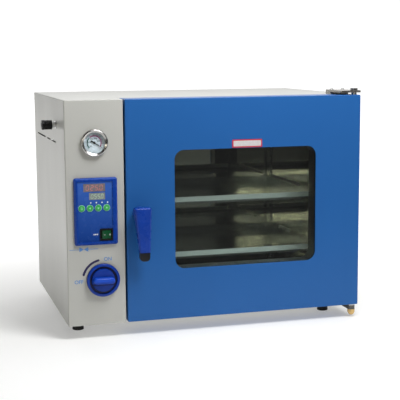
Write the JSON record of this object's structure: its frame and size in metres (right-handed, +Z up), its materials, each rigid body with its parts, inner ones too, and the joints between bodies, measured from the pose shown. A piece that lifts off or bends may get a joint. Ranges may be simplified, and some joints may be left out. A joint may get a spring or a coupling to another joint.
{
  "type": "vacuum oven",
  "caption": "Bench-top vacuum drying oven with a hinged windowed door, heated steel chamber with shelves, control panel, vacuum gauge and valve",
  "frame": {"origin": "on the floor that the feet stand on, under the middle of the whole oven's box", "axes": "+Z up, +Y towards the back, +X to the right as seen from the front"},
  "size_m": [0.7353, 0.5747, 0.55],
  "materials": {
    "grey_paint": "powder-coated light grey",
    "galvanised_sheet": "galvanised",
    "blue_paint": "glossy blue powder coat",
    "stainless_steel": "polished stainless steel",
    "mineral_wool": "mineral wool",
    "heater_silicone": "orange-brown silicone heater mat",
    "seal_silicone": "pale silicone rubber",
    "black_rubber": "black rubber",
    "window_glass": "clear toughened glass",
    "dark_steel": "blackened steel",
    "bright_steel": "zinc-plated steel",
    "brass": "turned brass",
    "copper_pipe": "drawn copper tube",
    "chrome": "bright chrome",
    "gauge_black": "black enamel",
    "dial_white": "white printed dial",
    "blue_plastic": "deep blue moulded plastic",
    "red_display": "display window, reddish grey",
    "green_display": "display window, greenish grey",
    "lamp_plastic": "clear lamp",
    "green_plastic": "green plastic",
    "black_plastic": "black plastic",
    "board_green": "circuit board and terminals"
  },
  "bodies": {
    "cabinet": {"outer_case": "grey_paint", "base_plate": "grey_paint", "back_panel": "grey_paint", "front_frame": "grey_paint", "compartment_divider": "galvanised_sheet", "vacuum_chamber": "stainless_steel", "upper_shelf": "stainless_steel", "lower_shelf": "stainless_steel", "shelf_racks": "stainless_steel", "temperature_probe": "stainless_steel", "chamber_insulation": "mineral_wool", "heater_mats": "heater_silicone", "door_seal": "seal_silicone", "feet": "black_rubber", "gauge_lens": "window_glass", "upper_hinge_plate": "dark_steel", "lower_hinge_arm": "dark_steel", "latch_keeper": "dark_steel", "hinge_pins": "bright_steel", "case_screws": "bright_steel", "hinge_dome_nut": "brass", "vacuum_valve_body": "brass", "chamber_pipe": "copper_pipe", "pump_pipe": "copper_pipe", "gauge_pipe": "copper_pipe", "vent_pipe": "copper_pipe", "gauge_bezel": "chrome", "vent_valve_body": "chrome", "pump_port": "chrome", "gauge_case": "gauge_black", "gauge_dial": "dial_white", "controller_bezel": "blue_plastic", "upper_display": "red_display", "lower_display": "green_display", "indicator_lamps": "lamp_plastic", "switch_frame": "black_plastic", "cable_gland": "black_plastic", "fuse_holder": "black_plastic", "solid_state_relay": "black_plastic", "controller_board": "board_green", "terminal_block": "board_green"},
    "door": {"door_skin": "blue_paint", "window_gasket": "black_rubber", "window_glass": "window_glass", "door_inner_plate": "stainless_steel", "vacuum_glass": "window_glass", "door_insulation": "mineral_wool", "hinge_blocks": "bright_steel"},
    "lever": {"door_lever": "blue_plastic", "lever_spindle": "dark_steel", "latch_cam": "bright_steel"},
    "vacuum_valve": {"valve_knob": "blue_plastic", "valve_spindle": "bright_steel"},
    "needle": {"gauge_needle": "gauge_black"},
    "menu_button": {"menu_key": "green_plastic"},
    "left_button": {"left_key": "green_plastic"},
    "down_button": {"down_key": "green_plastic"},
    "up_button": {"up_key": "green_plastic"},
    "rocker": {"power_rocker": "green_plastic"},
    "vent_screw": {"vent_knob": "black_plastic"}
  },
  "joints": [
    {"name": "door_hinge", "type": "hinge", "parent": "cabinet", "child": "door", "pos_m": [0.3535, -0.2295, 0.2835], "axis": [0, 0, 1], "range_deg": [0, 115]},
    {"name": "lever_turn", "type": "hinge", "parent": "door", "child": "lever", "pos_m": [-0.171, -0.2415, 0.2805], "axis": [0, -1, 0], "range_deg": [0, 90]},
    {"name": "vacuum_valve_turn", "type": "hinge", "parent": "cabinet", "child": "vacuum_valve", "pos_m": [-0.2555, -0.2415, 0.1346], "axis": [0, 1, 0], "range_deg": [0, 90]},
    {"name": "gauge_needle_turn", "type": "hinge", "parent": "cabinet", "child": "needle", "pos_m": [-0.269, -0.2415, 0.441], "axis": [0, -1, 0], "range_deg": [0, 257]},
    {"name": "menu_press", "type": "slide", "parent": "cabinet", "child": "menu_button", "axis": [0, 1, 0], "range_m": [0, 0.001], "stiffness_N_per_m": 400},
    {"name": "left_press", "type": "slide", "parent": "cabinet", "child": "left_button", "axis": [0, 1, 0], "range_m": [0, 0.001], "stiffness_N_per_m": 400},
    {"name": "down_press", "type": "slide", "parent": "cabinet", "child": "down_button", "axis": [0, 1, 0], "range_m": [0, 0.001], "stiffness_N_per_m": 400},
    {"name": "up_press", "type": "slide", "parent": "cabinet", "child": "up_button", "axis": [0, 1, 0], "range_m": [0, 0.001], "stiffness_N_per_m": 400},
    {"name": "power_switch", "type": "hinge", "parent": "cabinet", "child": "rocker", "pos_m": [-0.2469, -0.2439, 0.2375], "axis": [0, 0, -1], "range_deg": [0, 20]},
    {"name": "vent_knob_turn", "type": "hinge", "parent": "cabinet", "child": "vent_screw", "pos_m": [-0.3345, -0.1245, 0.475], "axis": [-1, 0, 0], "range_deg": [0, 540]}
  ]
}
